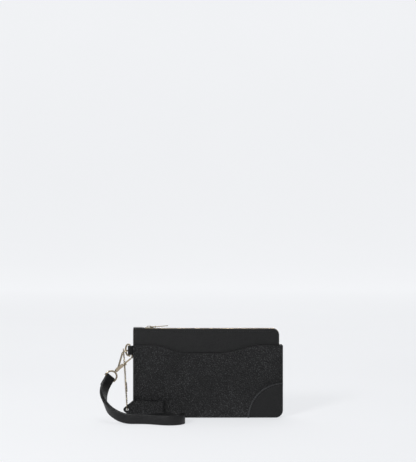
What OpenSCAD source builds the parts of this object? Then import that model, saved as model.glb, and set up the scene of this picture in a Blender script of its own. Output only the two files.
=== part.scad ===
// Flat leather pouch with an L-shaped zip, a clip-on wrist strap and a leather tag.
// X runs right, Z up and the front faces -Y. The origin is on the base, below the middle.

/* [Pouch] */
// Width across the sewn sides
pouch_w = 200; // [160:1:250]
// Height of the leather at the zip
pouch_h = 118.4; // [100:0.1:150]
// Depth over both panels
pouch_d = 14; // [12.5:0.5:24]
// Thickness of the shell leather
leather_t = 1.4; // [0.9:0.1:1.6]
// How far the upper right edge stands in from the sewn side
zip_step = 5; // [3:0.5:8]
// Radius of the top right corner
top_corner_r = 8.5; // [8:0.5:14]
// Radius of the bottom right corner
base_corner_r = 10; // [6:0.5:16]
// Thickness of the cloth lining
lining_t = 0.5; // [0.3:0.1:0.8]

/* [Front pocket] */
// Height of the pocket's top edge at the sides
pocket_h = 97.6; // [85:0.1:98]
// How far the pocket's edge dips in the middle
pocket_dip = 10.7; // [4:0.1:20]
// Radius of the corner patch
patch_r = 45; // [30:1:60]
// Width of the raised edge round the corner patch
patch_rim_w = 2; // [1:0.5:4]

/* [Zip] */
// Distance between teeth on one tape
tooth_pitch = 2.4; // [2:0.1:3.4]
// Length of a tooth along the zip
tooth_t = 0.9; // [0.6:0.05:0.9]
// Width of one row of teeth
tooth_w = 2.4; // [1.8:0.1:2.6]
// Gap between the two rows, which the slider's post runs in
row_gap = 1.2; // [1:0.1:1.5]
// Thickness of the zip tape
tape_t = 0.6; // [0.4:0.1:0.8]
// Length of the slider
slider_l = 11.5; // [9:0.5:16]
// Length of the pull tab
pull_l = 17; // [12:0.5:30]

/* [Ring and snap hook] */
// Wire diameter of the D-ring
ring_wire = 2.4; // [1.8:0.1:2.6]
// Radius of the D-ring's bow, at the middle of the wire
ring_r = 7.5; // [7:0.1:9]
// Height of the D-ring's middle above the base
ring_z = 89; // [80:0.5:90]
// Turn of the D-ring's bow from straight out towards the back
ring_yaw = 57; // [55:1:60]
// Height of the leather ring tab
ring_tab_h = 12; // [8:0.5:12]
// Wire diameter of the snap hook
hook_wire = 2.4; // [2:0.1:2.6]
// Radius of the hook's head, at the middle of the wire
hook_r = 7; // [6.8:0.1:7.2]
// Clear width inside the swivel eye, over the strap's width
eye_slack = 0.9; // [0.5:0.1:2]

/* [Wrist strap] */
// Width of the strap
strap_w = 12.3; // [10:0.1:13]
// Thickness of the strap
strap_t = 2.2; // [1.6:0.1:2.3]

/* [Tag] */
// Length of the tag
tag_l = 53; // [40:1:70]
// Height of the tag
tag_h = 23.6; // [22:0.1:30]
// Thickness of one of its two leather plies
tag_ply = 1.4; // [1:0.1:1.6]
// Diameter of the balls of the chain
ball_d = 1.8; // [1.5:0.1:2]

/* [Hidden] */
$fn = 48;

// Running clearance of hinges and sliding pieces
gap = 0.15;
leather_black = "#242426";
lining_grey = "#55504c";
metal_gold = "#c9b48c";

// The pouch's faces and edges
left_x = -pouch_w / 2;
right_x = pouch_w / 2;
zip_right_x = right_x - zip_step;
side_top_z = pocket_h - 1.1;
front_y = -pouch_d / 2;
inner_y = pouch_d / 2 - leather_t;
// The ledge is the leather's turned edge beside the zip
ledge_w = 1.4;
slot_y = inner_y - ledge_w;

// The zip, as insets from the pouch's outline
tape_top = leather_t;
tooth_top = -0.5;
tooth_low = tape_top + tape_t + 0.1;
tape_path_r = top_corner_r - tape_top;
tooth_in_y = row_gap / 2;
tooth_out_y = tooth_in_y + tooth_w;
end_tab_l = 14.5;
end_tab_t = 1.3;
end_tab_x = left_x + end_tab_l;

// The slider at the closed end, with its plates above and below the teeth
slider_x = end_tab_x + 1;
slider_y = slot_y - 0.25;
plate_t = 0.8;
top_plate_z = pouch_h - tooth_top + 0.25;
low_plate_z = pouch_h - tooth_low - 0.3;
bail_w = 1.8;
bail_h = 1.7;
link_wire = 1;
link_x = slider_x + slider_l - 4.2;
link_z = top_plate_z + plate_t + link_wire / 2 + 0.05;
link_l = 6.6;
link_y = 2.2;
pull_x = link_x + link_l;
pull_z = link_z + 0.1;
pull_w = 5;
pull_t = 0.9;
pull_tilt = 5;
pull_eye_r = 1.15;

// The D-ring hangs on the tab just off the pouch's left side
ring_x = left_x - 5.2;
ring_leg = 3.5;
tab_ply = 1.1;
tab_bore_r = ring_wire / 2 + gap;
tab_r = tab_bore_r + tab_ply;
tab_seam_y = 1.5;

// The snap hook lies in a plane parallel to the panels, as points of X and Z
hook_y = 4.3;
hook_c = [left_x - 9, ring_z - 8];
nose_angle = -20;
hook_end = [left_x - 21.3, ring_z - 25.7];
gate_p = [left_x - 16, ring_z - 21.4];
base_r = 2.6;
base_d = 5.2;
slot_d = 3.4;
gate_w = 2.2;
gate_d = 2;
pin_r = 0.8;
hook_nose = hook_c + hook_r * [cos(nose_angle), sin(nose_angle)];
gate_dir = hook_nose - gate_p;
gate_angle = atan2(gate_dir[1], gate_dir[0]);
gate_l = norm(gate_dir) - hook_wire / 2 - 0.5;
// The left arm leaves the hook's end and meets the head as a tangent
end_dir = hook_c - hook_end;
arm_l = sqrt(end_dir * end_dir - hook_r * hook_r);
arm_angle = atan2(end_dir[1], end_dir[0]) + asin(hook_r / norm(end_dir));

// The swivel turns about the hook's long axis, which points away from the head
eye_wire = 2.4;
eye_r = (strap_w + eye_slack + eye_wire) / 2;
eye_leg = 2.4;
stem_r = 1.25;
eye_start = 6;
eye_bar = eye_start + eye_r + eye_leg;
swivel_axis = unit([-0.675, 0, -0.7375]);
// The strap leaves the eye this way, so the eye's bar lies square to it
strap_start = unit([-0.4, -0.58, -0.7]);
eye_side = unit(cross(strap_start, swivel_axis));
eye_back = cross(swivel_axis, eye_side);
hook_end_3d = [hook_end[0], hook_y, hook_end[1]];
bar_at = hook_end_3d + eye_bar * swivel_axis;

// The strap: one leg, its fold over the eye's bar, and the turn-back sewn behind
strap_pitch = strap_t + 0.25;
wrap_r = max(strap_pitch, (eye_wire + strap_t) / 2 + gap);
floor_z = strap_w / 2 + 0.25;
turnback_steps = 5;
down = [0, 0, -1];
// Points that the strap's middle passes through, from the eye's bar to the base. The first
// number of each is measured from the pouch's left edge.
function beside(points) = [for (p = points) p + [left_x, 0, 0]];
strap_legs = concat([bar_at], beside([
    [-35.6, -0.7, 45.4], [-38.4, -8, 39.6], [-39.4, -18, 32], [-37, -28, 24.6],
    [-30, -38, 16], [-20, -46, 10.4], [-11, -50.5, 7.6], [-2, -53.2, floor_z],
    [7, -54.2, floor_z], [16, -54.4, floor_z]
]));
// Directions of the strap's width at those points
strap_widths = [
    eye_side, eye_side, eye_side, [0.5, 0.5, -0.7], [0.25, 0.65, -0.72], [-0.1, 0.57, -0.83],
    [-0.15, 0.35, -0.92], [-0.1, 0.15, -0.97], down, down, down
];
// Points of the loop at its end, from the rear leg round to the front leg
strap_loop = beside([
    [25, -49.6, floor_z], [36, -43.4, floor_z], [48, -38.4, floor_z], [59, -38.2, floor_z],
    [67, -43.4, floor_z], [69.4, -51.4, floor_z], [65.4, -59, floor_z], [56.5, -63.6, floor_z],
    [45, -63.6, floor_z], [34, -60, floor_z], [25, -56.4, floor_z]
]);

// The tag stands on the base's level, in front of the pocket
tag_y = front_y - leather_t - 3.1;
tag_right_x = left_x + 40.5;
tag_tip_x = tag_right_x - tag_l;
tag_mid_z = tag_h / 2;
tag_hole_x = tag_tip_x + 5.2;
tag_hole_r = 1.7;
tag_tip_r = 3.4;
chain_centre_y = tag_y - tag_ply;
// Points of the chain's loop as Y and Z, from the connector down, round and up in front
chain_route = [
    [-3.6, 34], [-7.6, 22], [-9.3, 16.4], [-10, 13], [-12, 11.5], [-14, 11.5], [-16, 13],
    [-16.7, 16.4], [-15.4, 24], [-12.4, 36], [-9.4, 48], [-6.3, 60], [-3.2, 72], [-0.6, 82],
    [0.5, 86.4], [2.2, 89.2], [4.3, 90.1], [6.4, 89.2], [7.8, 86.4], [7.9, 82], [7.4, 76],
    [6.8, 69], [4.6, 60], [2.1, 52], [0, 45.4]
];
chain_top = [left_x - 13.5, 86];
chain_low = [tag_hole_x, 12];
connector_r = 1.4;

function unit(v) = v / norm(v);
// A point of a smooth curve through the points p, at u along it from 0 to 1
function clamp_at(p, i) = p[max(0, min(len(p) - 1, i))];
function curve_part(a, b, c, d, t) =
    0.5 * (2 * b + (c - a) * t + (2 * a - 5 * b + 4 * c - d) * t * t
    + (3 * b - a - 3 * c + d) * t * t * t);
function curve_at(p, u) =
    let (s = u * (len(p) - 1), i = min(floor(s), len(p) - 2))
    curve_part(clamp_at(p, i - 1), p[i], p[i + 1], clamp_at(p, i + 2), s - i);
function curve(p, n) = [for (k = [0:n]) curve_at(p, k / n)];
function slope(p, i) = unit(clamp_at(p, i + 1) - clamp_at(p, i - 1));
// The part of v that stands square to direction t
function square_to(v, t) = unit(v - (v * t) * t);
function reversed(p) = [for (k = [len(p) - 1:-1:0]) p[k]];

// A move that takes X, Y and Z to the directions ex, ey and ez at a place
function placed(at, ex, ey, ez) = [
    [ex[0], ey[0], ez[0], at[0]],
    [ex[1], ey[1], ez[1], at[1]],
    [ex[2], ey[2], ez[2], at[2]],
    [0, 0, 0, 1]
];

// Draws an outline of X and Z as a slab between two values of Y
module slab(y_low, y_high) {
    translate([0, y_high, 0]) rotate([90, 0, 0]) linear_extrude(y_high - y_low) children();
}

// A rectangle whose right corners are rounded
module block_2d(x1, x2, z2, low_r, high_r, inset) {
    lr = max(0.2, low_r - inset);
    hr = max(0.2, high_r - inset);
    xr = x2 - inset;
    translate([x1 + inset, inset]) square([xr - lr - x1 - inset, z2 - 2 * inset - hr]);
    translate([x1 + inset, inset + lr]) square([xr - x1 - inset, z2 - 2 * inset - hr - lr]);
    translate([x1 + inset, z2 - inset - hr - 0.01]) square([xr - hr - x1 - inset, hr + 0.01]);
    translate([xr - lr, inset + lr]) circle(lr);
    translate([xr - hr, z2 - inset - hr]) circle(hr);
}

module outline(inset = 0) {
    block_2d(left_x, right_x, side_top_z, base_corner_r, 0.6, inset);
    block_2d(left_x, zip_right_x, pouch_h, base_corner_r, top_corner_r, inset);
}

module ring_2d(outer, inner) {
    difference() {
        outline(outer);
        outline(inner);
    }
}

// The stretch of the outline that the zip follows
module zip_zone() {
    translate([left_x + leather_t, side_top_z]) square([pouch_w, pouch_h]);
}

module panel(front) {
    slab(front ? front_y : inner_y, front ? -inner_y : -front_y) outline();
    slab(front ? -inner_y : slot_y, front ? -slot_y : inner_y) intersection() {
        ring_2d(0, leather_t);
        zip_zone();
    }
}

module front_panel() { color(leather_black) panel(true); }

module back_panel() { color(leather_black) panel(false); }

module gusset_band() {
    color(leather_black) slab(-inner_y, inner_y) difference() {
        ring_2d(0, leather_t);
        zip_zone();
    }
}

module lining(y_low, y_high) {
    color(lining_grey) slab(y_low, y_high) difference() {
        outline(leather_t);
        translate([left_x, pouch_h - 4]) square([pouch_w, pouch_h]);
        translate([zip_right_x - 4, side_top_z]) square([pouch_w, pouch_h]);
    }
}

module lining_front() { lining(-inner_y, lining_t - inner_y); }

module lining_back() { lining(inner_y - lining_t, inner_y); }

// Height of the pocket's edge: level, a soft dip in the middle, and level again
dip_start = left_x + 23;
dip_low = left_x + 73;
rise_start = left_x + 112;
rise_end = right_x - 24;
function ease(a, b, x) = 0.5 - 0.5 * cos(180 * max(0, min(1, (x - a) / (b - a))));
function pocket_edge(x) =
    pocket_h - pocket_dip * (ease(dip_start, dip_low, x) - ease(rise_start, rise_end, x))
    - 1.1 * ease(right_x - 20, right_x, x);

module pocket_2d() {
    steps = 40;
    intersection() {
        outline();
        polygon(concat(
            [[left_x, 0], [right_x, 0]],
            [for (k = [steps:-1:0]) let (x = left_x + pouch_w * k / steps) [x, pocket_edge(x)]]
        ));
    }
}

module pocket_panel() {
    color(leather_black) {
        slab(front_y - leather_t, front_y) difference() {
            pocket_2d();
            translate([right_x, 0]) circle(patch_r);
        }
        slab(front_y - leather_t - 0.5, front_y - leather_t) intersection() {
            pocket_2d();
            translate([right_x, 0]) difference() {
                circle(patch_r + patch_rim_w);
                circle(patch_r);
            }
        }
    }
}

module corner_patch() {
    color(leather_black) slab(front_y - leather_t + 0.3, front_y) intersection() {
        pocket_2d();
        translate([right_x, 0]) circle(patch_r);
    }
}

module tape(y_low, y_high) {
    color("#1c1c1e") slab(y_low, y_high) intersection() {
        ring_2d(tape_top, tape_top + tape_t);
        translate([tape_top + tape_t - leather_t, 0]) zip_zone();
    }
}

module zip_tape_front() { tape(-inner_y, -tooth_out_y); }

module zip_tape_back() { tape(tooth_out_y, inner_y); }

// One tooth seen from the front, standing on the outline at the origin
module tooth_2d() {
    translate([-tooth_t / 2, -tooth_low]) square([tooth_t, tooth_low - tooth_top]);
}

// A row of teeth along the top, round the corner and down the right side
module tooth_row(first) {
    top_start = slider_x + 1 + first;
    corner_x = zip_right_x - top_corner_r;
    corner_z = pouch_h - top_corner_r;
    corner_step = tooth_pitch / tape_path_r * 180 / PI;
    top_n = floor((corner_x - top_start) / tooth_pitch);
    used = top_start + top_n * tooth_pitch;
    corner_first = (used + tooth_pitch - corner_x) / tape_path_r * 180 / PI;
    corner_n = floor((90 - corner_first) / corner_step);
    last_angle = corner_first + corner_n * corner_step;
    side_first = (last_angle + corner_step - 90) * PI / 180 * tape_path_r;
    side_n = floor((corner_z - side_first - side_top_z - 1.5) / tooth_pitch);
    for (k = [0:top_n]) translate([top_start + k * tooth_pitch, pouch_h]) tooth_2d();
    for (k = [0:corner_n])
        translate([corner_x, corner_z]) rotate(-corner_first - k * corner_step)
            translate([0, top_corner_r]) tooth_2d();
    for (k = [0:side_n])
        translate([zip_right_x, corner_z - side_first - k * tooth_pitch]) rotate(-90) tooth_2d();
}

module zip_teeth_front() {
    color(metal_gold) slab(-tooth_out_y, -tooth_in_y) tooth_row(0);
}

module zip_teeth_back() {
    color(metal_gold) slab(tooth_in_y, tooth_out_y) tooth_row(tooth_pitch / 2);
}

// Two clips on the tapes under the leather end, one on each side
module zip_top_stops() {
    stop_x = end_tab_x - 5;
    color(metal_gold) for (y = [-tooth_out_y, tooth_in_y])
        slab(y, y + tooth_w) translate([stop_x, pouch_h - tooth_low]) square([3, tooth_low]);
}

// The clip across both tapes at the lower end of the zip
module zip_bottom_stop() {
    color(metal_gold) slab(-tooth_out_y, tooth_out_y)
        translate([zip_right_x - tooth_low, side_top_z]) square([tooth_low - tooth_top, 1.2]);
}

module zip_end_tab() {
    color(leather_black) slab(front_y, -front_y)
        translate([left_x, pouch_h]) square([end_tab_l, end_tab_t]);
}

module ring_tab() {
    color(leather_black) translate([ring_x, 0, ring_z - ring_tab_h / 2]) difference() {
        union() {
            cylinder(ring_tab_h, tab_r, tab_r);
            linear_extrude(ring_tab_h) polygon([
                [0, tab_r - 0.1], [left_x - ring_x, tab_seam_y], [left_x - ring_x, -tab_seam_y],
                [0, 0.1 - tab_r]
            ]);
        }
        translate([0, 0, -1]) cylinder(ring_tab_h + 2, tab_bore_r, tab_bore_r);
    }
}

module slider_body() {
    mid_y = tooth_in_y - gap;
    bail_x = link_x - 5.3;
    bail_l = 7.4;
    bail_z = top_plate_z + plate_t;
    color(metal_gold) {
        for (z = [top_plate_z, low_plate_z - plate_t])
            translate([slider_x, -slider_y, z]) cube([slider_l, 2 * slider_y, plate_t]);
        for (side = [-1, 1])
            translate([slider_x, side * (slider_y - 0.375) - 0.375, pouch_h - 1.1])
                cube([slider_l, 0.75, top_plate_z - pouch_h + 1.1]);
        translate([slider_x + 2, -mid_y, low_plate_z])
            cube([2, 2 * mid_y, top_plate_z - low_plate_z]);
        slab(-bail_w / 2, bail_w / 2) difference() {
            translate([bail_x, bail_z]) square([bail_l, bail_h]);
            translate([bail_x + 1.2, bail_z]) square([bail_l - 2.4, link_wire + gap]);
        }
    }
}

// A round bar between two points, with rounded ends
module bar(from, to, r) {
    dir = to - from;
    turn = atan2(dir[1], dir[0]);
    tip = acos(dir[2] / norm(dir));
    translate(from) rotate([0, tip, turn]) cylinder(norm(dir), r, r);
    translate(from) sphere(r);
    translate(to) sphere(r);
}

module pull_link() {
    far = [pull_x, 0, pull_z];
    near = [link_x, 0, link_z];
    side = [0, link_y, 0];
    color(metal_gold) {
        bar(near - side, near + side, link_wire / 2);
        bar(far - side, far + side, link_wire / 2);
        bar(near + side, far + side, link_wire / 2);
        bar(near - side, far - side, link_wire / 2);
    }
}

module pull_tab() {
    eye_y = link_y - link_wire / 2 - 0.2;
    color(metal_gold) translate([pull_x, 0, pull_z]) rotate([0, -pull_tilt, 0]) difference() {
        union() {
            rotate([90, 0, 0]) cylinder(2 * eye_y, pull_eye_r, pull_eye_r, center = true);
            translate([0, -eye_y, -pull_t / 2]) cube([3, 2 * eye_y, pull_t]);
            translate([2.5, -pull_w / 2, -pull_t / 2]) cube([pull_l - 5, pull_w, pull_t]);
            translate([pull_l - 2.5, 0, -pull_t / 2]) cylinder(pull_t, pull_w / 2, pull_w / 2);
        }
        rotate([90, 0, 0]) cylinder(pull_w, link_wire / 2 + 0.08, link_wire / 2 + 0.08, center = true);
    }
}

// A D-shaped loop in the XZ plane: its straight bar stands on Z at the origin
module d_loop(r, leg, wire) {
    rotate([90, 0, 0]) {
        translate([leg, 0, 0]) rotate([0, 0, -90]) rotate_extrude(angle = 180)
            translate([r, 0]) circle(wire / 2);
        for (side = [-r, r])
            translate([0, side, 0]) {
                rotate([0, 90, 0]) cylinder(leg, wire / 2, wire / 2);
                sphere(wire / 2);
            }
        translate([0, -r, 0]) rotate([-90, 0, 0]) cylinder(2 * r, wire / 2, wire / 2);
    }
}

module d_ring() {
    color(metal_gold) translate([ring_x, 0, ring_z]) rotate([0, 0, 180 - ring_yaw])
        d_loop(ring_r, ring_leg, ring_wire);
}

// Outline of the block at the hook's end, which holds the gate and the swivel
module hook_base_2d() {
    along = gate_p - hook_end;
    translate(hook_end) circle(base_r);
    translate(gate_p) circle(base_r - 0.2);
    translate(hook_end) rotate(atan2(along[1], along[0]))
        translate([0, 0.5 - base_r]) square([norm(along), 2 * base_r - 1]);
}

module gate_slot_2d() {
    translate(gate_p) {
        circle(2.9);
        rotate(gate_angle) translate([0, -2.9]) square([6, 5.8]);
    }
}

module hook_body() {
    collar_l = 4;
    head_r = stem_r + 0.65;
    color(metal_gold) difference() {
        union() {
            translate([hook_c[0], hook_y, hook_c[1]]) rotate([90, 0, 0])
                rotate([0, 0, nose_angle]) rotate_extrude(angle = arm_angle + 90 - nose_angle)
                    translate([hook_r, 0]) circle(hook_wire / 2);
            translate([hook_nose[0], hook_y, hook_nose[1]]) sphere(hook_wire / 2 + 0.15);
            translate(hook_end_3d) rotate([0, 90 - arm_angle, 0])
                cylinder(arm_l - 0.2, hook_wire / 2, hook_wire / 2);
            // A ball joins the bow to the arm
            translate(hook_end_3d) rotate([0, 90 - arm_angle, 0]) translate([0, 0, arm_l])
                sphere(hook_wire / 2 + 0.15);
            slab(hook_y - base_d / 2, hook_y + base_d / 2) hook_base_2d();
            multmatrix(placed(hook_end_3d, eye_side, eye_back, swivel_axis))
                cylinder(collar_l, base_r - 0.3, base_r - 0.3);
        }
        slab(hook_y - slot_d / 2, hook_y + slot_d / 2) gate_slot_2d();
        translate([gate_p[0], hook_y, gate_p[1]]) rotate([90, 0, 0])
            cylinder(base_d + 1, pin_r, pin_r, center = true);
        multmatrix(placed(hook_end_3d, eye_side, eye_back, swivel_axis)) {
            translate([0, 0, 1]) cylinder(1.6, head_r + gap, head_r + gap);
            translate([0, 0, 1]) cylinder(collar_l, stem_r + gap, stem_r + gap);
        }
    }
}

module gate_pin() {
    color(metal_gold) translate([gate_p[0], hook_y, gate_p[1]]) rotate([90, 0, 0])
        cylinder(base_d, pin_r, pin_r, center = true);
}

// A torsion spring of one turn round the pin, beside the gate
module gate_spring() {
    wire_r = (slot_d - gate_d) / 4 - 0.05;
    coil_r = pin_r + wire_r + 0.1;
    color(metal_gold)
        translate([gate_p[0], hook_y + gate_d / 2 + wire_r + 0.05, gate_p[1]]) rotate([90, 0, 0])
            rotate_extrude() translate([coil_r, 0]) circle(wire_r);
}

module hook_gate() {
    color(metal_gold) slab(hook_y - gate_d / 2, hook_y + gate_d / 2) translate(gate_p)
        rotate(gate_angle) difference() {
            union() {
                circle(2);
                translate([0, -gate_w / 2]) square([gate_l, gate_w]);
                translate([5.2, -1.5]) circle(1.5);
            }
            circle(pin_r + 0.06);
        }
}

module swivel_eye() {
    head_r = stem_r + 0.65;
    color(metal_gold) multmatrix(placed(hook_end_3d, eye_side, eye_back, swivel_axis)) {
        translate([0, 0, 1.15]) cylinder(1.3, head_r, head_r);
        translate([0, 0, 2]) cylinder(eye_start - 2, stem_r, stem_r);
        translate([0, 0, eye_bar]) rotate([0, 90, 0]) d_loop(eye_r, eye_leg, eye_wire);
    }
}

// A solid strip along stations, each a point, its width direction and its thickness direction
module strip(stations, width, thickness) {
    n = len(stations);
    corners = [[-1, -1], [1, -1], [1, 1], [-1, 1]];
    points = [
        for (s = stations, c = corners)
            s[0] + s[1] * c[0] * width / 2 + s[2] * c[1] * thickness / 2
    ];
    sides = [
        for (i = [0:n - 2], k = [0:3], half = [0, 1])
            let (a = i * 4 + k, b = a + 4, c = (i + 1) * 4 + (k + 1) % 4, d = c - 4)
            half == 0 ? [a, b, c] : [a, c, d]
    ];
    ends = [[0, 1, 2, 3], [for (k = [3:-1:0]) (n - 1) * 4 + k]];
    polyhedron(points, concat(sides, ends));
}

leg_steps = 30;
leg_mid = curve(strap_legs, leg_steps);
leg_wide = curve(strap_widths, leg_steps);
leg_slope = [for (i = [0:leg_steps]) i == 0 ? strap_start : slope(leg_mid, i)];
leg_side = [for (i = [0:leg_steps]) square_to(leg_wide[i], leg_slope[i])];
leg_face = [for (i = [0:leg_steps]) cross(leg_slope[i], leg_side[i])];
// Stations of a leg that lies a number of thicknesses off the middle one
function leg(off, first, last) = [
    for (i = [first:last]) [leg_mid[i] + off * leg_face[i], leg_side[i], leg_face[i]]
];
// The fold over the bar, from the rear face round to the front face
function fold(steps) = [
    for (k = [1:steps - 1])
        let (a = 180 * k / steps, out = -cos(a) * leg_face[0] - sin(a) * leg_slope[0])
        [bar_at + wrap_r * out, leg_side[0], out]
];
function flipped(stations) = [for (s = stations) [s[0], s[1], -s[2]]];
loop_path = concat(
    [leg(strap_pitch, leg_steps, leg_steps)[0][0]], strap_loop, [leg_mid[leg_steps]]
);
loop_mid = curve(loop_path, 44);
loop_stations = [
    for (i = [1:len(loop_mid) - 2])
        [loop_mid[i], [0, 0, -1], cross(slope(loop_mid, i), [0, 0, -1])]
];

module wrist_strap() {
    stations = concat(
        reversed(flipped(leg(-wrap_r, 0, turnback_steps))), fold(8),
        leg(wrap_r, 0, turnback_steps), leg(strap_pitch, turnback_steps + 1, leg_steps),
        loop_stations,
        reversed(flipped(leg(0, 1, leg_steps)))
    );
    color(leather_black) strip(stations, strap_w, strap_t);
}

module tag_2d() {
    difference() {
        union() {
            translate([tag_tip_x + tag_tip_r, tag_mid_z]) circle(tag_tip_r);
            polygon([
                [tag_tip_x + 1, tag_mid_z - 3.3], [tag_tip_x + 12.6, 0], [tag_right_x, 0],
                [tag_right_x, tag_h], [tag_tip_x + 12.6, tag_h], [tag_tip_x + 1, tag_mid_z + 3.3]
            ]);
        }
        translate([tag_hole_x, tag_mid_z]) circle(tag_hole_r);
    }
}

module tag_front() { color(leather_black) slab(tag_y - 2 * tag_ply, tag_y - tag_ply) tag_2d(); }

module tag_back() { color(leather_black) slab(tag_y - tag_ply, tag_y) tag_2d(); }

// The chain's loop stands in a plane that turns a little to reach the tag's hole
function chain_x(z) =
    chain_low[0] + (chain_top[0] - chain_low[0]) * (z - chain_low[1]) / (chain_top[1] - chain_low[1]);
chain_path = [for (p = chain_route) [chain_x(p[1]), p[0], p[1]]];

// A round tube along a path, closed at both ends
module tube(path, r, sides) {
    n = len(path);
    points = [
        for (i = [0:n - 1])
            let (t = slope(path, i), u = square_to([1, 0, 0], t), v = cross(t, u))
            for (k = [0:sides - 1])
                path[i] + r * (cos(360 * k / sides) * u + sin(360 * k / sides) * v)
    ];
    walls = [
        for (i = [0:n - 2], k = [0:sides - 1], half = [0, 1])
            let (a = i * sides + k, b = a + sides, d = i * sides + (k + 1) % sides, c = d + sides)
            half == 0 ? [a, b, c] : [a, c, d]
    ];
    ends = [[for (k = [0:sides - 1]) k], [for (k = [sides - 1:-1:0]) (n - 1) * sides + k]];
    polyhedron(points, concat(walls, ends));
}

module ball_chain() { color(metal_gold) tube(curve(chain_path, 56), ball_d / 2, 8); }

// The clasp that joins the chain's two ends
module chain_connector() {
    low = chain_path[0];
    high = chain_path[len(chain_path) - 1];
    dir = high - low;
    color(metal_gold) translate(low) rotate([0, acos(dir[2] / norm(dir)), atan2(dir[1], dir[0])])
        cylinder(norm(dir), connector_r, connector_r);
}

front_panel();
back_panel();
gusset_band();
lining_front();
lining_back();
pocket_panel();
corner_patch();
zip_tape_front();
zip_tape_back();
zip_teeth_front();
zip_teeth_back();
zip_top_stops();
zip_bottom_stop();
zip_end_tab();
ring_tab();
slider_body();
pull_link();
pull_tab();
d_ring();
hook_body();
gate_pin();
gate_spring();
hook_gate();
swivel_eye();
wrist_strap();
tag_front();
tag_back();
ball_chain();
chain_connector();
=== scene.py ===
"""A flat leather pouch with an L-shaped zip, a wrist strap on a snap hook and a leather tag."""

import math

import bmesh
import bpy
from mathutils import Matrix, Vector


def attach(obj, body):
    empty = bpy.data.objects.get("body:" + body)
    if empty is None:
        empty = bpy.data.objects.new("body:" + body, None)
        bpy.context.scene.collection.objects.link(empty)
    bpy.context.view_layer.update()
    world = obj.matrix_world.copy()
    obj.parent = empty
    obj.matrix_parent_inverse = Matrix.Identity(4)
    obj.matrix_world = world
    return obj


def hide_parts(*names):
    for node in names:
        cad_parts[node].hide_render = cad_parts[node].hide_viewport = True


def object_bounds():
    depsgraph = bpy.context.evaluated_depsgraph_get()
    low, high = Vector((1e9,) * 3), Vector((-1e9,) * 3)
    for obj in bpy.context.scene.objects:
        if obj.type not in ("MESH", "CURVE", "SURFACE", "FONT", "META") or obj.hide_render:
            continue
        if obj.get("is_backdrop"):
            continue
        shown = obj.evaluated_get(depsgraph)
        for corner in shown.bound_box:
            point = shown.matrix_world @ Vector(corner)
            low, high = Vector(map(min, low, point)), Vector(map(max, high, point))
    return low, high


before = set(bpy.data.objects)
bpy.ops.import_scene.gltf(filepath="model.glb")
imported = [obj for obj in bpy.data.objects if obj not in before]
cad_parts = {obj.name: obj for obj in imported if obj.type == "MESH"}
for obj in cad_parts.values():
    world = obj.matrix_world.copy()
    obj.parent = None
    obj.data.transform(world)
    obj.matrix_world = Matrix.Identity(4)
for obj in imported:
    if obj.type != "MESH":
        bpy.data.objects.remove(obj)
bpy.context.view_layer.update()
MM = 0.001


# Camera and lights
def add_camera():
    data = bpy.data.cameras.new("camera")
    data.lens = 80
    data.sensor_width = 36
    camera = bpy.data.objects.new("camera", data)
    camera.location = (0, -1.3774, 0.249)
    camera.rotation_euler = (math.pi / 2, 0, 0)
    bpy.context.collection.objects.link(camera)
    bpy.context.scene.camera = camera


def add_light(name, place, target, size, watts):
    data = bpy.data.lights.new(name, "AREA")
    data.energy = watts
    data.size = size
    light = bpy.data.objects.new(name, data)
    light.location = place
    light.rotation_euler = (Vector(target) - Vector(place)).to_track_quat("-Z", "Y").to_euler()
    bpy.context.collection.objects.link(light)


add_camera()


# Materials
class Value:
    """A node's output, on which arithmetic adds Math nodes."""

    def __init__(self, finish, socket):
        self.finish, self.socket = finish, socket

    def _math(self, operation, a, b):
        return self.finish.node("ShaderNodeMath", {"operation": operation}, {0: a, 1: b})

    def __add__(self, other):
        return self._math("ADD", self, other)

    def __sub__(self, other):
        return self._math("SUBTRACT", self, other)

    def __rsub__(self, other):
        return self._math("SUBTRACT", other, self)

    def __mul__(self, other):
        return self._math("MULTIPLY", self, other)

    __radd__ = __add__
    __rmul__ = __mul__


class Finish:
    """A material whose shader is filled by name."""

    def __init__(self, name, **shader):
        self.material = bpy.data.materials.new(name)
        self.material.use_nodes = True
        self.tree = self.material.node_tree
        self.shader = self.tree.nodes["Principled BSDF"]
        self.set({
            key.replace("_", " ").title().replace("Ior", "IOR"): value for key, value in shader.items()
        })

    def set(self, values):
        self.link(self.shader, values)

    def link(self, node, values):
        for key, value in values.items():
            if isinstance(value, Value):
                self.tree.links.new(value.socket, node.inputs[key])
            else:
                node.inputs[key].default_value = value

    def node(self, kind, settings=None, inputs=None, out=0):
        made = self.tree.nodes.new(kind)
        for key, value in (settings or {}).items():
            if key == "stops":
                ramp = made.color_ramp
                while len(ramp.elements) < len(value):
                    ramp.elements.new(0.5)
                for element, (place, color) in zip(ramp.elements, value):
                    element.position, element.color = place, color
            else:
                setattr(made, key, value)
        self.link(made, inputs or {})
        return Value(self, made.outputs[out])

    def place(self, stretch=(1, 1, 1)):
        where = self.node("ShaderNodeTexCoord", out="Object")
        return self.node("ShaderNodeMapping", None, {"Vector": where, "Scale": stretch})

    def noise(self, where, scale, detail=2):
        return self.node(
            "ShaderNodeTexNoise", None, {"Vector": where, "Scale": scale, "Detail": detail, "Roughness": 0.5}
        )

    def cells(self, where, scale, feature="DISTANCE_TO_EDGE"):
        return self.node(
            "ShaderNodeTexVoronoi",
            {"feature": feature},
            {"Vector": where, "Scale": scale},
            "Distance",
        )

    def ramp(self, factor, *stops):
        return self.node(
            "ShaderNodeValToRGB",
            {"stops": [(place, (*color, 1)) for place, color in stops]},
            {"Fac": factor},
        )

    def relief(self, height, distance, strength=1, below=None):
        inputs = {"Height": height, "Distance": distance, "Strength": strength}
        if below is not None:
            inputs["Normal"] = below
        return self.node("ShaderNodeBump", None, inputs)


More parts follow.
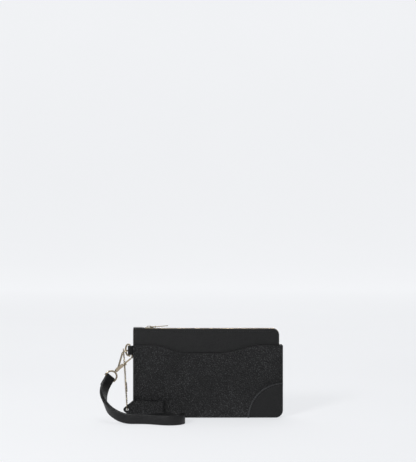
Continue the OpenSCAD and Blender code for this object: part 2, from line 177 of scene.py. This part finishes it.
def leather(name, grain, depth, shine, tone=1.0, extra_wear_and_highlight=0.0):
    """Black leather whose pebbles are 1 / grain metres across: grooves darker as painted shade, tops paler,
    partly as wear and partly as painted highlight.
    """
    f = Finish(name, specular_ior_level=0.3)
    where = f.place()
    bend = f.node(
        "ShaderNodeVectorMath",
        {"operation": "MULTIPLY_ADD"},
        {0: f.node("ShaderNodeTexNoise", None, {"Vector": where, "Scale": grain * 0.6}, 1),
         1: (0.0007, 0.0007, 0.0007), 2: where},
    )
    edge = f.cells(bend, grain)
    pebble = f.node("ShaderNodeMapRange", {"interpolation_type": "SMOOTHSTEP"},
                    {"Value": edge, "From Min": 0.0, "From Max": 0.45})
    wrinkle = f.noise(where, grain * 2.4, 3)
    patch = f.noise(where, 28, 2)
    # Pebble colour: the darker grooves are painted shade; the paler tops are partly wear, partly painted
    # highlight.
    dark, light, tops_wear_and_highlight = 0.0055 * tone, 0.0120 * tone, (0.0120 + extra_wear_and_highlight) * tone
    tops = f.cells(bend, grain, "F1")
    f.set({
        "Base Color": f.ramp(
            (1 - tops) * 0.75 + patch * 0.25,
            (0.42, (dark, dark * 1.02, dark * 1.08)), (0.60, (light, light * 1.03, light * 1.1)),
            (0.78, (tops_wear_and_highlight, tops_wear_and_highlight * 1.02, tops_wear_and_highlight * 1.05)),
        ),
        "Roughness": shine + 0.16 * patch - 0.10 * pebble + 0.06 * wrinkle,
        "Normal": f.relief(wrinkle, 0.00006, 0.6, f.relief(pebble, depth)),
    })
    return f.material


def metal():
    """Pale gold plate with a faint cloud and a brushed grain."""
    f = Finish("pale_gold", metallic=1.0)
    where = f.place()
    cloud = f.noise(where, 160, 3)
    brush = f.noise(f.place((1, 1, 7)), 900, 2)
    f.set({
        "Base Color": f.ramp(cloud, (0.3, (0.33, 0.275, 0.20)), (0.7, (0.45, 0.385, 0.29))),
        "Roughness": 0.07 + 0.08 * cloud + 0.04 * brush,
        "Normal": f.relief(brush, 0.00002, 0.25),
    })
    return f.material


def cloth(name, dark, light, threads):
    """A plain weave: two sets of threads that cross on X and Z."""
    f = Finish(name, roughness=0.85, sheen_weight=0.2)
    where = f.node("ShaderNodeSeparateXYZ", None, {0: f.place((threads, threads, threads))})
    parts = where.socket.node.outputs
    across = f.node("ShaderNodeMath", {"operation": "SINE"}, {0: Value(f, parts["X"])})
    along = f.node("ShaderNodeMath", {"operation": "SINE"}, {0: Value(f, parts["Z"])})
    weave = across * along * 0.5 + 0.5
    fuzz = f.noise(f.place(), 1500, 2)
    f.set({
        "Base Color": f.ramp(weave * 0.7 + fuzz * 0.3, (0.2, dark), (0.8, light)),
        "Roughness": 0.75 + 0.2 * fuzz,
        "Normal": f.relief(weave + fuzz * 0.4, 0.0001),
    })
    return f.material


# The last number pales the pebble tops further, partly as wear and partly as painted highlight.
GRAIN = leather("pebbled_leather", 540, 0.0008, 0.30, 0.76, 0.085)
SMOOTH = leather("smooth_leather", 1100, 0.00016, 0.42, 0.62, 0.006)
STRAP = leather("strap_leather", 1200, 0.00009, 0.34, 0.85)
GLOSS = leather("glossy_leather", 1500, 0.00005, 0.20, 0.8)
# Rim leather three times paler than the rest: a painted highlight for the light that its raised ridge
# catches.
PAINTED_HIGHLIGHT_RIM = leather("painted_highlight_rim_leather", 1200, 0.0001, 0.24, 3.0, 0.01)
METAL = metal()
LINING = cloth("lining_cloth", (0.05, 0.045, 0.04), (0.12, 0.11, 0.10), 5200)
TAPE = cloth("zip_tape_cloth", (0.006, 0.006, 0.006), (0.016, 0.016, 0.017), 7800)
THREAD = cloth("thread", (0.006, 0.006, 0.007), (0.022, 0.022, 0.023), 9000)


# Shapes
def piece(bm, name, material, body, nodes=(), weighted=False):
    """Makes a shown object of a mesh, ties it to its body and finish, and hides the CAD nodes that it stands
    for.
    """
    bmesh.ops.recalc_face_normals(bm, faces=bm.faces[:])
    mesh = bpy.data.meshes.new(name)
    bm.to_mesh(mesh)
    bm.free()
    for face in mesh.polygons:
        face.use_smooth = True
    mesh.materials.append(material)
    made = bpy.data.objects.new(name, mesh)
    bpy.context.collection.objects.link(made)
    if weighted:
        made.modifiers.new("even_shading", "WEIGHTED_NORMAL").weight = 90
    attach(made, body)
    if nodes:
        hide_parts(*nodes)
    return made


def arc(x, z, r, start, end, steps=10):
    """Points round (x, z) from one angle to another, in degrees."""
    return [
        (x + r * math.cos(math.radians(start + (end - start) * k / steps)),
         z + r * math.sin(math.radians(start + (end - start) * k / steps)))
        for k in range(steps + 1)
    ]


def plate(outline, low, high, edge_r, holes=(), x_cuts=(), z_cuts=(), segments=3):
    """A slab from low to high in Y on an outline of X and Z, in mm, with rounded rims."""
    bm = bmesh.new()
    edges = []
    for ring in (outline, *holes):
        verts = [bm.verts.new((x * MM, low * MM, z * MM)) for x, z in ring]
        edges += [bm.edges.new((verts[k - 1], verts[k])) for k in range(len(verts))]
    if holes:
        bmesh.ops.triangle_fill(bm, use_beauty=True, use_dissolve=True, edges=edges)
    else:
        bm.faces.new(verts)
    bmesh.ops.recalc_face_normals(bm, faces=bm.faces[:])
    lifted = bmesh.ops.extrude_face_region(bm, geom=bm.faces[:])["geom"]
    bmesh.ops.translate(
        bm, vec=(0, (high - low) * MM, 0), verts=[g for g in lifted if isinstance(g, bmesh.types.BMVert)]
    )
    bmesh.ops.recalc_face_normals(bm, faces=bm.faces[:])
    rims = [
        e for e in bm.edges
        if abs(e.verts[0].co.y - e.verts[1].co.y) < 1e-7 and e.calc_face_angle(0) > 1
    ]
    bmesh.ops.bevel(
        bm, geom=rims, offset=edge_r * MM, segments=segments, profile=0.5, affect="EDGES",
        material=-1, clamp_overlap=True,
    )
    for cuts, normal in ((x_cuts, (1, 0, 0)), (z_cuts, (0, 0, 1))):
        for cut in cuts:
            bmesh.ops.bisect_plane(
                bm, geom=bm.verts[:] + bm.edges[:] + bm.faces[:],
                plane_co=[cut * MM * n for n in normal], plane_no=normal,
            )
    return bm


def laid_flat(bm):
    """Turns a plate so that its outline's second number runs along Y, and its depth up."""
    bmesh.ops.rotate(bm, cent=(0, 0, 0), matrix=Matrix.Rotation(math.pi / 2, 3, "X"), verts=bm.verts[:])
    return bm


def round_section(width, depth, r, steps=3):
    """A rectangle with rounded corners, as offsets across and through."""
    return [
        point
        for x, y, start in ((1, 1, 0), (-1, 1, 90), (-1, -1, 180), (1, -1, 270))
        for point in arc(x * (width / 2 - r), y * (depth / 2 - r), r, start, start + 90, steps)
    ]


def sweep(stations, section):
    """Carries a section along stations, each a place, a direction across and one through."""
    bm = bmesh.new()
    rings = []
    for place, across, through in stations:
        verts = [bm.verts.new((place + across * u + through * v) * MM) for u, v in section]
        rings.append([bm.edges.new((verts[k - 1], verts[k])) for k in range(len(verts))])
    for k in range(len(rings) - 1):
        bmesh.ops.bridge_loops(bm, edges=rings[k] + rings[k + 1])
    bmesh.ops.holes_fill(bm, edges=rings[0] + rings[-1], sides=0)
    return bm


def slope(points, k):
    """The way that a path runs at one of its points."""
    return (points[min(len(points) - 1, k + 1)] - points[max(0, k - 1)]).normalized()


def along(points, through):
    """Stations on a path in a plane whose normal is through."""
    through = Vector(through).normalized()
    return [(p, slope(points, k).cross(through).normalized(), through) for k, p in enumerate(points)]


def curve(points, steps):
    """Even steps on a smooth curve through points."""
    points = [Vector(p) for p in points]
    last = len(points) - 1
    found = []
    for k in range(steps + 1):
        s = last * k / steps
        i = min(int(s), last - 1)
        t = s - i
        a, b, c, d = (points[max(0, min(last, i + j))] for j in (-1, 0, 1, 2))
        found.append(
            0.5 * (2 * b + (c - a) * t + (2 * a - 5 * b + 4 * c - d) * t**2
                   + (3 * b - a - 3 * c + d) * t**3)
        )
    return found


def add_stitch(bm, place, run, out, length=1.9, width=0.42):
    """One slack stitch, laid along run and standing a little out of the leather."""
    side = run.cross(out).normalized()
    turn = Matrix((run.normalized(), side, out.normalized())).transposed().to_4x4()
    size = Matrix.Diagonal((length / 2 * MM, width / 2 * MM, width * 0.42 * MM, 1))
    bmesh.ops.create_icosphere(
        bm, subdivisions=1, radius=1, matrix=Matrix.Translation(place * MM) @ turn @ size
    )


def stitches(rows, pitch, name, body):
    """Rows of stitches: each row is a list of places with the way out of the leather."""
    bm = bmesh.new()
    for row in rows:
        left = pitch / 2
        for (a, out_a), (b, _) in zip(row, row[1:]):
            run = b - a
            while left < run.length:
                add_stitch(bm, a + run.normalized() * left, run, out_a)
                left += pitch
            left -= run.length
    return piece(bm, name, THREAD, body)


# The tag's ball chain
CHAIN_YZ = [
    (-3.6, 34), (-7.6, 22), (-9.3, 16.4), (-10, 13), (-12, 11.5), (-14, 11.5), (-16, 13),
    (-16.7, 16.4), (-15.4, 24), (-12.4, 36), (-9.4, 48), (-6.3, 60), (-3.2, 72), (-0.6, 82),
    (0.5, 86.4), (2.2, 89.2), (4.3, 90.1), (6.4, 89.2), (7.8, 86.4), (7.9, 82), (7.4, 76),
    (6.8, 69), (4.6, 60), (2.1, 52), (0, 45.4),
]
TAG_EYE_X, TAG_EYE_Z = -107.3, 11.8
CHAIN_TOP_X = -113.5
CHAIN_LOW_Z, CHAIN_RISE = 12, 74
BALL_D, BALL_PITCH = 1.8, 2.35
LINK_R = 0.28


def chain_place(y, z):
    """A place on the chain, which leans from the tag's eye to the hook's top."""
    return Vector((TAG_EYE_X + (CHAIN_TOP_X - TAG_EYE_X) * (z - CHAIN_LOW_Z) / CHAIN_RISE, y, z))


def ball_chain():
    path = curve([chain_place(*p) for p in CHAIN_YZ], 240)
    bm = bmesh.new()
    left = length = 0.0
    balls = []
    for a, b in zip(path, path[1:]):
        step = (b - a).length
        while left <= step:
            balls.append(a + (b - a) * (left / step))
            left += BALL_PITCH
        left -= step
        length += step
    for ball in balls:
        bmesh.ops.create_icosphere(
            bm, subdivisions=2, radius=BALL_D / 2 * MM, matrix=Matrix.Translation(ball * MM)
        )
    for a, b in zip(balls, balls[1:]):
        turn = (b - a).to_track_quat("Z", "Y").to_matrix().to_4x4()
        bmesh.ops.create_cone(
            bm, cap_ends=True, segments=8, radius1=LINK_R * MM, radius2=LINK_R * MM,
            depth=(b - a).length * MM, matrix=Matrix.Translation((a + b) / 2 * MM) @ turn,
        )
    made = piece(bm, "bead_chain", METAL, "chain", ["ball_chain"])
    path[0] * MM
    [p * MM for p in path[::2]]


ball_chain()


# The pouch's body
LEFT, RIGHT, ZIP_RIGHT, STEP_Z, TOP = -100, 100, 95, 96.5, 118.4
SIDE_SEAM, LOW_SEAM, TOP_SEAM = 97.4, 2.4, 114.8
SIDE_CUTS = [96.2, 97, SIDE_SEAM, 97.8, 98.2, 99]
X_CUTS = [-x for x in reversed(SIDE_CUTS)] + list(range(-94, 95, 6)) + SIDE_CUTS
Z_CUTS = [1, 1.8, LOW_SEAM, 3, 3.8] + list(range(8, 116, 6)) + [113.4, 114.4, TOP_SEAM, 115.2, 116.2, 117.4]
WALL_IN, WALL_OUT = 5.6, 7.0


def pouch_outline(inset=0.0):
    """The pouch's edge from the lower left corner round to the right, in X and Z."""
    i = inset
    return [
        *arc(LEFT + 3, 3, 3 - i, 180, 270, 5),
        *arc(RIGHT - 10, 10, 10 - i, 270, 360, 12),
        *arc(RIGHT - 1, STEP_Z - 1, 1 - i / 2, 0, 90, 3),
        (ZIP_RIGHT + 0.6 - i, STEP_Z - i / 2), (ZIP_RIGHT - i, STEP_Z + 0.6 - i / 2),
        *arc(ZIP_RIGHT - 8.5, TOP - 8.5, 8.5 - i, 0, 90, 10),
        *arc(LEFT + 1, TOP - 1, 1 - i / 2, 90, 180, 3),
    ]


def crown(x, z):
    """How far the filled pouch's wall stands out, in mm."""
    across = 1 - (abs(x) / 100) ** 4
    up = 1 - (abs(z - 57) / 61.4) ** 3
    return 2.0 * max(0, across) * max(0, up)


def dent(value, place, width, depth):
    """How deep the leather is pressed at a distance from a seam."""
    return depth * math.exp(-(((value - place) / width) ** 2))


def shape_wall(bm, side):
    """Moves a wall out by its crown, with a pressed line inside its sewn sides."""
    for v in bm.verts:
        x, z = v.co.x / MM, v.co.z / MM
        press = 0.0
        if v.co.y * side > (WALL_OUT - 0.4) * MM:
            press = dent(abs(x), SIDE_SEAM, 0.45, 0.28) + dent(z, LOW_SEAM, 0.5, 0.25)
            if z > 100:
                press += dent(z, TOP_SEAM, 0.5, 0.3)
        v.co.y += side * (crown(x, z) - press) * MM


for side, word in ((-1, "front"), (1, "back")):
    low, high = sorted((WALL_IN * side, WALL_OUT * side))
    wall = plate(pouch_outline(), low, high, 0.55, x_cuts=X_CUTS, z_cuts=Z_CUTS)
    shape_wall(wall, side)
    piece(wall, f"{word}_wall", SMOOTH if side < 0 else GRAIN, "pouch",
          [f"{word}_panel"], weighted=True)


def zip_path(inset, start_x=-99.0, end_z=98.0, steps=12):
    """The zip's line along the top, round the corner and down the side."""
    return [Vector((x, 0, TOP - inset)) for x in range(int(start_x), 87, 6)] + [
        Vector((x, 0, z)) for x, z in arc(ZIP_RIGHT - 8.5, TOP - 8.5, 8.5 - inset, 90, 0, steps)
    ] + [Vector((ZIP_RIGHT - inset, 0, 104)), Vector((ZIP_RIGHT - inset, 0, end_z))]


# Turned leather edges on both sides of the zip
EDGE_Y, EDGE_DROP = 5.15, 0.75
for side, word in ((-1, "front"), (1, "back")):
    path = [p + Vector((0, side * EDGE_Y, 0)) for p in zip_path(EDGE_DROP)]
    piece(sweep(along(path, (0, 1, 0)), round_section(1.4, 1.7, 0.6)), f"{word}_zip_edge",
          SMOOTH, "pouch")

# The gusset lies a little inside the walls' edges
gusset_path = [Vector((LEFT + 1, 0, z)) for z in (117, 90, 60, 30, 8)]
gusset_path += [Vector((x, 0, z)) for x, z in arc(LEFT + 4, 4, 3, 180, 270, 6)]
gusset_path += [Vector((x, 0, 1)) for x in (-60, -20, 20, 60)]
gusset_path += [Vector((x, 0, z)) for x, z in arc(RIGHT - 10, 10, 9, 270, 360, 12)]
gusset_path += [Vector((RIGHT - 1, 0, z)) for z in (40, 70, 94)]
gusset_path += [Vector((x, 0, 95.5)) for x in (98.6, 95.4)]
piece(sweep(along(gusset_path, (0, 1, 0)), round_section(1.2, 11.3, 0.5)), "side_band", SMOOTH,
      "pouch", ["gusset_band"])

# Front pocket
PATCH_R = 45
POCKET_BACK, POCKET_FRONT, PATCH_FRONT = -7.1, -8.5, -8.0


def ease(a, b, x):
    """Rises smoothly from 0 at a to 1 at b."""
    return 0.5 - 0.5 * math.cos(math.pi * max(0, min(1, (x - a) / (b - a))))


def pocket_edge(x):
    """The height of the pocket's waved mouth."""
    return 97.6 - 10.7 * (ease(-77, -27, x) - ease(12, 76, x)) - 1.1 * ease(80, 100, x)


pocket_outline = [
    *arc(LEFT + 3, 3, 3, 180, 270, 5),
    *arc(RIGHT, 0, PATCH_R, 180, 90, 28),
    *((100 - k * 200 / 60, pocket_edge(100 - k * 200 / 60)) for k in range(61)),
]
pocket = plate(pocket_outline, POCKET_FRONT, POCKET_BACK, 0.6, x_cuts=X_CUTS,
               z_cuts=[c for c in Z_CUTS if c < 90] + [92, 94])
shape_wall(pocket, -1)
piece(pocket, "pocket_wall", GRAIN, "pouch", ["pocket_panel"], weighted=True)

patch_outline = [
    *arc(RIGHT, 0, PATCH_R + 0.5, 90, 180, 28), *arc(RIGHT - 10, 10, 10, 270, 360, 12),
]
patch = plate(patch_outline, PATCH_FRONT, POCKET_BACK, 0.4, x_cuts=[c for c in X_CUTS if c > 54],
              z_cuts=[c for c in Z_CUTS if c < 46])
shape_wall(patch, -1)
piece(patch, "corner_patch_wall", SMOOTH, "pouch", ["corner_patch"], weighted=True)


def on_wall(x, z, out):
    """A place that far out from the middle on the crowned front."""
    return Vector((x, -out - crown(x, z), z))


# The pocket's rolled edges: round the corner patch and along its mouth
# The patch rim's paler leather is a painted highlight.
rim = [on_wall(x, z, 8.8) for x, z in arc(RIGHT, 0, PATCH_R + 1, 180, 90, 36)]
piece(sweep(along(rim, (0, 1, 0)), round_section(2.3, 1.8, 0.8)), "patch_rim", PAINTED_HIGHLIGHT_RIM,
      "pouch")
mouth = [on_wall(x, pocket_edge(x) - 0.9, 8.3) for x in [-99.4 + k * 198.8 / 60 for k in range(61)]]
piece(sweep(along(mouth, (0, 1, 0)), round_section(1.8, 1.1, 0.5)), "pocket_mouth_edge", SMOOTH,
      "pouch")

front = Vector((0, -1, 0))
back = Vector((0, 1, 0))
rows = [
    [(on_wall(x, pocket_edge(x) - 3.0, 8.52), front) for x in range(-96, 97, 3)],
    [(on_wall(x, TOP_SEAM, WALL_OUT - 0.25), front) for x in range(-84, 88, 4)],
    [(Vector((x, WALL_OUT - 0.25 + crown(x, TOP_SEAM), TOP_SEAM)), back) for x in range(-84, 88, 4)],
    [(on_wall(x, z, 8.02), front) for x, z in arc(RIGHT, 0, PATCH_R - 2.2, 177, 94, 40)],
]
stitches(rows, 3.0, "pouch_stitches", "pouch")

# Zip end: the leather that covers the closed end of the zip
zip_end = laid_flat(plate(
    [*arc(-98.6, -5.6, 1.4, 180, 270, 4), *arc(-87.2, -5.3, 1.7, 270, 360, 5),
     *arc(-87.2, 5.3, 1.7, 0, 90, 5), *arc(-98.6, 5.6, 1.4, 90, 180, 4)],
    118.3, 119.6, 0.5, x_cuts=range(-98, -85, 2), z_cuts=range(-6, 7, 2),
))
for v in zip_end.verts:
    if v.co.z > 0.119:
        v.co.z += 0.0004 * (1 - (v.co.y / 0.0072) ** 2) - 0.0004 * ease(-0.090, -0.0855, v.co.x)
piece(zip_end, "zip_end_cover", GLOSS, "pouch", ["zip_end_tab"], weighted=True)

# Teeth that lock into each other
TOOTH_PITCH = 2.4


def tooth(bm, place, up, side):
    """A tooth whose foot is on its own tape and whose head reaches past the middle."""
    made = bmesh.ops.create_cube(bm, size=1)["verts"]
    edges = list({e for v in made for e in v.link_edges})
    across = Vector((0, 1, 0))
    run = across.cross(up).normalized()
    turn = Matrix((run, across, up)).transposed().to_4x4()
    size = Matrix.Diagonal((0.95 * MM, 3.4 * MM, 1.9 * MM, 1))
    at = place + across * (side * 1.3) - up * 0.45
    bmesh.ops.transform(bm, matrix=Matrix.Translation(at * MM) @ turn @ size, verts=made)
    bmesh.ops.bevel(bm, geom=edges, offset=0.22 * MM, segments=1, profile=0.5, affect="EDGES",
                    material=-1, clamp_overlap=True)


def teeth(side, word):
    """A row of teeth along the zip, half a pitch from the other row."""
    path = zip_path(0, -84, 98.2, 24)
    bm = bmesh.new()
    left = TOOTH_PITCH * (0.4 if side < 0 else 0.9)
    for a, b in zip(path, path[1:]):
        run = b - a
        while left < run.length:
            up = Vector((0, -1, 0)).cross(run).normalized()
            tooth(bm, a + run.normalized() * left, up, side)
            left += TOOTH_PITCH
        left -= run.length
    piece(bm, f"{word}_teeth", METAL, "pouch", [f"zip_teeth_{word}"])


teeth(-1, "front")
teeth(1, "back")

# Slider with its bail
slider = laid_flat(plate(
    [*arc(-83.3, -2.7, 1.2, 180, 270, 4), (-80, -3.9), (-76, -3.3), *arc(-74.2, -2.1, 1.2, 270, 360, 4),
     *arc(-74.2, 2.1, 1.2, 0, 90, 4), (-76, 3.3), (-80, 3.9), *arc(-83.3, 2.7, 1.2, 90, 180, 4)],
    119.15, 119.95, 0.25, segments=2,
))
lower = laid_flat(plate(
    [*arc(-83.3, -2.7, 1.2, 180, 270, 4), *arc(-74.2, -2.1, 1.2, 270, 360, 4),
     *arc(-74.2, 2.1, 1.2, 0, 90, 4), *arc(-83.3, 2.7, 1.2, 90, 180, 4)],
    115.2, 116.0, 0.2, segments=2,
))
flanges = [plate([(-84, 117.4), (-73.6, 117.4), (-73.4, 119.4), (-84.2, 119.4)], *span, 0.2, segments=2)
           for span in ((-3.95, -3.2), (3.2, 3.95))]
bail_path = [Vector((x, 0, z)) for x, z in [(-82.0, 119.7), *arc(-80.6, 120.2, 1.2, 180, 90, 5),
                                            *arc(-77.0, 120.2, 1.2, 90, 0, 5), (-75.6, 119.7)]]
bail = sweep(along(bail_path, (0, 1, 0)), round_section(0.9, 1.8, 0.35))
piece(bail, "slider_bail", METAL, "slider")
piece(slider, "slider_plate", METAL, "slider", ["slider_body"], weighted=True)
piece(lower, "slider_low_plate", METAL, "slider", weighted=True)
for word, flange in zip(("front", "back"), flanges):
    piece(flange, f"slider_{word}_flange", METAL, "slider", weighted=True)

# Ring tab: a strip of leather folded round the ring's bar and sewn into the side
RING_X, RING_Z = LEFT - 5.2, 89
fold_path = [Vector((-99.4, 1.15, RING_Z)), Vector((-102, 1.5, RING_Z))]
fold_path += [Vector((x, y, RING_Z)) for x, y in arc(RING_X, 0, 1.9, 60, 300, 16)]
fold_path += [Vector((-102, -1.5, RING_Z)), Vector((-99.4, -1.15, RING_Z))]
piece(sweep(along(fold_path, (0, 0, 1)), round_section(1.0, 12, 0.35)), "folded_ring_tab", SMOOTH,
      "pouch", ["ring_tab"])


# Tag
TAG_SHOULDER, TAG_END, TAG_TOP = -99.9, -59.5, 23.6
tag_outline = [
    *arc(-109.1, TAG_EYE_Z, 3.4, 125, 235, 8),
    (TAG_SHOULDER, 0), (TAG_END, 0), (TAG_END, TAG_TOP), (TAG_SHOULDER, TAG_TOP),
]
for word, low, high in (("front", -14.3, -12.95), ("back", -12.85, -11.5)):
    tag = plate(tag_outline, low, high, 0.45, holes=[arc(TAG_EYE_X, TAG_EYE_Z, 1.7, 0, 345, 23)])
    piece(tag, f"tag_{word}_ply", GRAIN, "tag", [f"tag_{word}"], weighted=True)
inner = [(-103.5, 18.3), (-99.2, 21.6), (-61.7, 21.6), (-61.7, 2.0), (-99.2, 2.0), (-103.5, 5.3)]
stitches([[(Vector((x, -14.35, z)), front) for x, z in inner]], 2.8, "tag_stitches", "tag")

# Wrist strap
STRAP_W, STRAP_T = 12.3, 2.2
LAYER = STRAP_T + 0.25
FLOOR_Z = STRAP_W / 2 + 0.25
swivel_axis = Vector((-0.675, 0, -0.7375)).normalized()
strap_start = Vector((-0.4, -0.58, -0.7)).normalized()
eye_side = strap_start.cross(swivel_axis).normalized()
HOOK_END, EYE_BAR, EYE_WIRE = Vector((-121.3, 4.3, 63.3)), 16.2, 2.4
bar_at = HOOK_END + EYE_BAR * swivel_axis
DOWN = Vector((0, 0, -1))
strap_legs = [
    bar_at, (-135.6, -0.7, 45.4), (-138.4, -8, 39.6), (-139.4, -18, 32), (-137, -28, 24.6),
    (-130, -38, 16), (-120, -46, 10.4), (-111, -50.5, 7.6), (-102, -53.2, FLOOR_Z),
    (-93, -54.2, FLOOR_Z), (-84, -54.4, FLOOR_Z),
]
strap_widths = [
    eye_side, eye_side, eye_side, (0.5, 0.5, -0.7), (0.25, 0.65, -0.72), (-0.1, 0.57, -0.83),
    (-0.15, 0.35, -0.92), (-0.1, 0.15, -0.97), DOWN, DOWN, DOWN,
]
strap_loop = [
    (-75, -49.6), (-64, -43.4), (-52, -38.4), (-41, -38.2), (-33, -43.4), (-30.6, -51.4),
    (-34.6, -59), (-43.5, -63.6), (-55, -63.6), (-66, -60), (-75, -56.4),
]


def strap_stations():
    """The strap's middle from its turned-back end, over the eye's bar, round its loop and back."""
    steps = 30
    middle = curve(strap_legs, steps)
    wide = curve(strap_widths, steps)
    runs = [strap_start] + [slope(middle, k) for k in range(1, steps + 1)]
    sides = [(w - w.dot(r) * r).normalized() for w, r in zip(wide, runs)]
    faces = [r.cross(s) for r, s in zip(runs, sides)]

    def leg(off, first, last, flip=1):
        """One layer of the strap's legs, off its middle line."""
        return [
            (middle[k] + off * faces[k], sides[k], flip * faces[k]) for k in range(first, last + 1)
        ]

    wrap_r = max(LAYER, (EYE_WIRE + STRAP_T) / 2 + 0.15)
    fold = []
    for k in range(1, 8):
        a = math.pi * k / 8
        out = -math.cos(a) * faces[0] - math.sin(a) * runs[0]
        fold.append((bar_at + wrap_r * out, sides[0], out))
    ends = [leg(LAYER, steps, steps)[0][0], middle[steps]]
    loop = curve([ends[0], *((x, y, FLOOR_Z) for x, y in strap_loop), ends[1]], 44)
    round_loop = [(loop[k], DOWN, slope(loop, k).cross(DOWN)) for k in range(1, 44)]
    return (
        leg(-wrap_r, 0, 5, -1)[::-1] + fold + leg(wrap_r, 0, 5) + leg(LAYER, 6, steps)
        + round_loop + leg(0, 1, steps, -1)[::-1]
    )


stations = strap_stations()
strap_length = sum((b[0] - a[0]).length for a, b in zip(stations, stations[1:]))
strap = piece(sweep(stations, round_section(STRAP_W, STRAP_T, 0.75)), "strap_band", STRAP, "strap",
              ["wrist_strap"])
seams = stitches(
    [[(p + s * across + face * out * (STRAP_T / 2), face * out) for p, s, face in stations]
     for across in (-4.7, 4.7) for out in (-1, 1)],
    3.0, "strap_stitches", "strap",
)

# CAD pieces that stay, with their finish
for name, material in {
    "lining_front": LINING, "lining_back": LINING, "zip_tape_front": TAPE, "zip_tape_back": TAPE,
    **dict.fromkeys(
        ["zip_top_stops", "zip_bottom_stop", "pull_link", "pull_tab", "d_ring", "hook_body",
         "gate_pin", "gate_spring", "hook_gate", "swivel_eye", "chain_connector"], METAL,
    ),
}.items():
    for material_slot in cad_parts[name].material_slots:
        material_slot.material = material


# Floor, backdrop and light
def add_stage():
    """A pale floor that turns up into a backdrop, with a faint light of its own."""
    bm = bmesh.new()
    corners = [(-6, -4, 0), (6, -4, 0)]
    edge = bm.edges.new([bm.verts.new(c) for c in corners])
    moves = [(0, 7, 0)] + [
        (0, 0.25 * math.cos(math.radians(a)), 0.25 * math.sin(math.radians(a))) for a in range(5, 90, 10)
    ] + [(0, 0, 6)]
    edges = [edge]
    for move in moves:
        made = bmesh.ops.extrude_edge_only(bm, edges=edges)["geom"]
        edges = [g for g in made if isinstance(g, bmesh.types.BMEdge)]
        bmesh.ops.translate(bm, vec=move, verts=[g for g in made if isinstance(g, bmesh.types.BMVert)])
    f = Finish("paper", roughness=0.95, emission_strength=1.0)
    depth = f.node("ShaderNodeMapRange", None, {
        "Value": Value(f, f.node("ShaderNodeSeparateXYZ", None, {0: f.place()}).socket.node.outputs["Y"]),
        "From Min": 0.4, "From Max": 3.2,
    })
    cloud = f.noise(f.place(), 3)
    f.set({
        "Base Color": f.ramp(cloud, (0.3, (0.235, 0.236, 0.238)), (0.7, (0.245, 0.246, 0.248))),
        "Emission Color": f.ramp(depth, (0, (0.65, 0.66, 0.678)), (1, (0.76, 0.77, 0.787))),
    })
    mesh = bpy.data.meshes.new("backdrop")
    bm.to_mesh(mesh)
    bm.free()
    mesh.materials.append(f.material)
    for face in mesh.polygons:
        face.use_smooth = True
    sheet = bpy.data.objects.new("backdrop", mesh)
    bpy.context.collection.objects.link(sheet)
    sheet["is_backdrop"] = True


add_stage()
add_light("key", (-0.85, -1.35, 0.95), (0, 0, 0.06), 0.4, 17)
add_light("fill", (1.5, -1.6, 0.6), (0, 0, 0.06), 0.9, 2)
add_light("top", (-0.1, 0.5, 1.7), (0, 0, 0.1), 1.0, 9)
world = bpy.data.worlds.new("studio")
world.use_nodes = True
world.node_tree.nodes["Background"].inputs["Color"].default_value = (0.93, 0.95, 1.0, 1)
world.node_tree.nodes["Background"].inputs["Strength"].default_value = 0.2
bpy.context.scene.world = world

bpy.context.scene.view_settings.view_transform = "Standard"

low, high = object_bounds()
